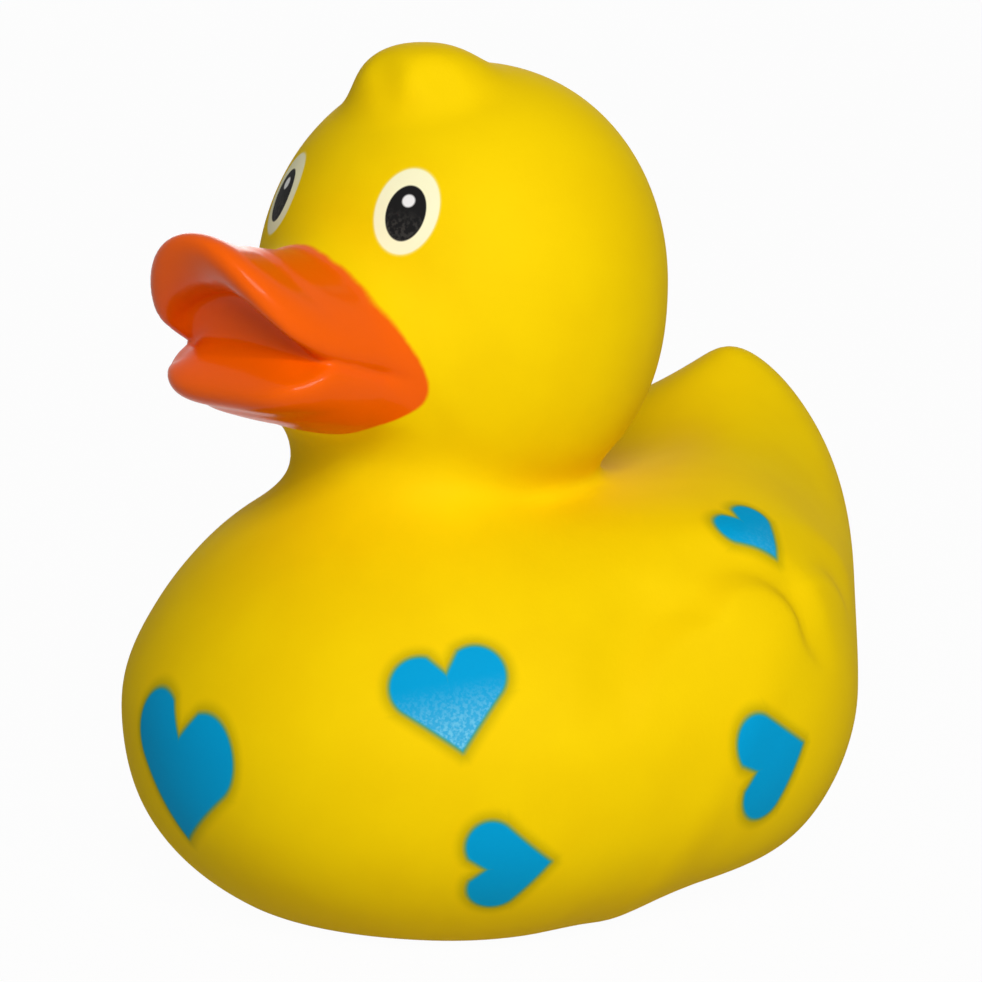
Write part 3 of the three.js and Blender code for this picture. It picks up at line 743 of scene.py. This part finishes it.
def painted_eyes(tone, position):
    mottle = speckle(position, WORN_PER_MM, WORN_DETAIL)
    for row in EYES:
        patch = Patch(*row)
        far = rising(patch.depth(position), EYE_DEPTH_FROM, EYE_DEPTH_TO)
        across = patch.place(position, patch.across)
        up = patch.place(position, patch.up)
        cream = length(across * (1 / EYE_HALF[0]), up * (1 / EYE_HALF[1])) - 1 + far
        pupil = length(across * (1 / PUPIL_HALF[0]), (up + PUPIL_LOW) * (1 / PUPIL_HALF[1])) - 1 + far
        glint = length(across, up - GLINT_UP) - GLINT_RADIUS + far
        worn = rising(0 - up, WORN_TOP, WORN_FULL) * rising(mottle, WORN_FROM, WORN_TO)
        tone = blended(inside_of(cream - EYE_EDGE_WIDTH, EYE_EDGE_SOFT), tone, EYE_EDGE)
        tone = blended(inside_of(cream, CREAM_SOFT), tone, EYE_CREAM)
        black = blended(worn * WORN_SHARE, PUPIL, PUPIL_WORN)
        tone = blended(inside_of(pupil, PUPIL_SOFT), tone, black)
        tone = blended(inside_of(glint, GLINT_SOFT), tone, GLINT)
    return tone


def printed_hearts(tone, position):
    # Painted sheen: flecks of light reflected off the glossy ink
    sheen_flecks = rising(speckle(position, SHEEN_FLECKS_PER_MM, SHEEN_FLECK_DETAIL), SHEEN_FLECK_FROM, SHEEN_FLECK_TO)
    edges, pale = None, None
    for row in HEARTS:
        edge, sheen_here = heart(position, *row)
        sheen_here = sheen_here * inside_of(edge, HEART_SOFT)
        edges = edge if edges is None else lesser(edges, edge)
        pale = sheen_here if pale is None else greater(pale, sheen_here)
    tone = blended((1 - rising(edges, 0.0, HALO_WIDTH)) * HALO_SHARE, tone, HEART_HALO)
    tone = blended(inside_of(edges - RIM_WIDTH, RIM_SOFT) * RIM_SHARE, tone, HEART_RIM)
    # Painted sheen mixed into the blue ink
    ink = blended(pale * (SHEEN_SHARE + sheen_flecks * SHEEN_FLECK_SHARE), HEART_BLUE, HEART_SHEEN)
    return blended(inside_of(edges, HEART_SOFT), tone, ink)


CLOUDS_PER_MM, CLOUD_DETAIL = 0.12, 2.0
CLOUD_FROM, CLOUD_TO = 0.3, 0.7
CLOUD_SHARE = 0.5
GRAIN_PER_MM, GRAIN_DETAIL = 2.2, 2.0
GRAIN_STRENGTH = 0.04
GRAIN_DEPTH = 0.0003
VINYL_ROUGHNESS = 0.7
BILL_SMOOTHER_BY = 0.4
SPECULAR_LEVEL = 0.05
BILL_COAT = 0.1
COAT_ROUGHNESS = 0.1


def finish_of_duck(piece):
    material = bpy.data.materials.new("painted vinyl")
    material.use_nodes = True
    tree = material.node_tree
    tree.nodes.clear()
    start = Wire(tree)
    metres = start.add("ShaderNodeTexCoord", {}, {}, "Object")
    position = metres.add("ShaderNodeVectorMath", {"operation": "SCALE"}, {0: metres, "Scale": 1 / MM})
    x = along(position, (1, 0, 0))
    y = along(position, (0, 1, 0))
    z = along(position, (0, 0, 1))

    cloud = speckle(position, CLOUDS_PER_MM, CLOUD_DETAIL)
    vinyl = blended(rising(cloud, CLOUD_FROM, CLOUD_TO) * CLOUD_SHARE, YELLOW, YELLOW_DEEP)
    tone = printed_hearts(vinyl, position)
    on_bill = inside_of(bill_paint(x, y, z, position), PAINT_SOFT)
    tone = blended(on_bill, tone, ORANGE)
    tone = painted_eyes(tone, position)

    grain = speckle(position, GRAIN_PER_MM, GRAIN_DETAIL)
    relief = {"Height": grain, "Strength": GRAIN_STRENGTH, "Distance": GRAIN_DEPTH}
    bump = start.add("ShaderNodeBump", {}, relief)
    shader = start.add("ShaderNodeBsdfPrincipled", {}, {
        "Base Color": tone,
        "Roughness": VINYL_ROUGHNESS - on_bill * BILL_SMOOTHER_BY,
        "Specular IOR Level": SPECULAR_LEVEL,
        "Coat Weight": on_bill * BILL_COAT,
        "Coat Roughness": COAT_ROUGHNESS,
        "Normal": bump,
    })
    start.add("ShaderNodeOutputMaterial", {}, {"Surface": shader})
    piece.data.materials.append(material)


duck = make_skin()
finish_of_duck(duck)
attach(duck, "root")
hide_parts("duck_body")

# The studio

AZIMUTH = math.radians(45)
ELEVATION = math.radians(10)
CAMERA_DISTANCE = 0.430
CAMERA_TARGET = Vector((0.0, 0.008, 0.040))
SENSOR = 36.0
FRAME_PIXELS = 982
PIXELS_PER_SLOPE = 4300

back = Vector((
    math.sin(AZIMUTH) * math.cos(ELEVATION),
    -math.cos(AZIMUTH) * math.cos(ELEVATION),
    math.sin(ELEVATION),
))
right = Vector((math.cos(AZIMUTH), math.sin(AZIMUTH), 0.0))
up = back.cross(right)


def aimed(name, data, place, target):
    thing = bpy.data.objects.new(name, data)
    thing.location = place
    thing.rotation_euler = (place - target).to_track_quat("Z", "Y").to_euler()
    bpy.context.collection.objects.link(thing)
    return thing


def soft_lamp(name, direction, distance, size, power):
    data = bpy.data.lights.new(name, "AREA")
    data.shape = "DISK"
    data.size = size
    data.energy = power
    return aimed(name, data, CAMERA_TARGET + direction.normalized() * distance, CAMERA_TARGET)


# Each lamp: its direction from the duck, its distance and size in metres, and its power in watts
KEY_DIRECTION = back * 0.47 + up * 0.16 + right * 0.05
REAR_DIRECTION = back * -0.94 + up * 0.34
GLINT_DIRECTION = back * 0.8 + up * 0.3 + right * 0.35
soft_lamp("key_lamp", KEY_DIRECTION, distance=0.9, size=0.4, power=5.3)
soft_lamp("rear_lamp", REAR_DIRECTION, distance=2.4, size=1.3, power=8.5)
soft_lamp("glint_lamp", GLINT_DIRECTION, distance=0.9, size=0.03, power=1.2)

WHITE = (1.0, 1.0, 1.0, 1.0)
FLOOR_GREY = (0.6, 0.6, 0.6, 1.0)
AMBIENT_STRENGTH = 0.16
FLOOR_GLOW_SHARE = 0.97
FLOOR_HALF = 3.0


def seen_directly(start):
    """1 on rays from the eye, in mirror images and through glass, 0 on light falling on things."""
    kinds = ("Camera", "Glossy", "Transmission")
    rays = [start.add("ShaderNodeLightPath", {}, {}, "Is %s Ray" % kind) for kind in kinds]
    return greater(greater(rays[0], rays[1]), rays[2])


def white_surroundings():
    world = bpy.data.worlds.new("studio")
    world.use_nodes = True
    tree = world.node_tree
    tree.nodes.clear()
    start = Wire(tree)
    ambient = start.add("ShaderNodeBackground", {}, {"Color": WHITE, "Strength": AMBIENT_STRENGTH})
    white = start.add("ShaderNodeBackground", {}, {"Color": WHITE, "Strength": 1.0})
    shown = start.add("ShaderNodeMixShader", {}, {0: seen_directly(start), 1: ambient, 2: white})
    start.add("ShaderNodeOutputWorld", {}, {"Surface": shown})
    bpy.context.scene.world = world


def white_floor():
    mesh = bpy.data.meshes.new("floor")
    signs = ((-1, -1), (1, -1), (1, 1), (-1, 1))
    corners = [(x * FLOOR_HALF, y * FLOOR_HALF, 0) for x, y in signs]
    mesh.from_pydata(corners, [], [(0, 1, 2, 3)])
    floor = bpy.data.objects.new("floor", mesh)
    bpy.context.collection.objects.link(floor)
    material = bpy.data.materials.new("pale floor")
    material.use_nodes = True
    tree = material.node_tree
    tree.nodes.clear()
    start = Wire(tree)
    matt = start.add("ShaderNodeBsdfDiffuse", {}, {"Color": FLOOR_GREY})
    glow = start.add("ShaderNodeEmission", {}, {"Color": WHITE, "Strength": 1.0})
    share = seen_directly(start) * FLOOR_GLOW_SHARE
    shown = start.add("ShaderNodeMixShader", {}, {0: share, 1: matt, 2: glow})
    start.add("ShaderNodeOutputMaterial", {}, {"Surface": shown})
    mesh.materials.append(material)


white_surroundings()
white_floor()

lens = bpy.data.cameras.new("camera")
lens.sensor_width = SENSOR
lens.lens = SENSOR * PIXELS_PER_SLOPE / FRAME_PIXELS
scene = bpy.context.scene
scene.camera = aimed("camera", lens, CAMERA_TARGET + back * CAMERA_DISTANCE, CAMERA_TARGET)
scene.view_settings.view_transform = "Standard"
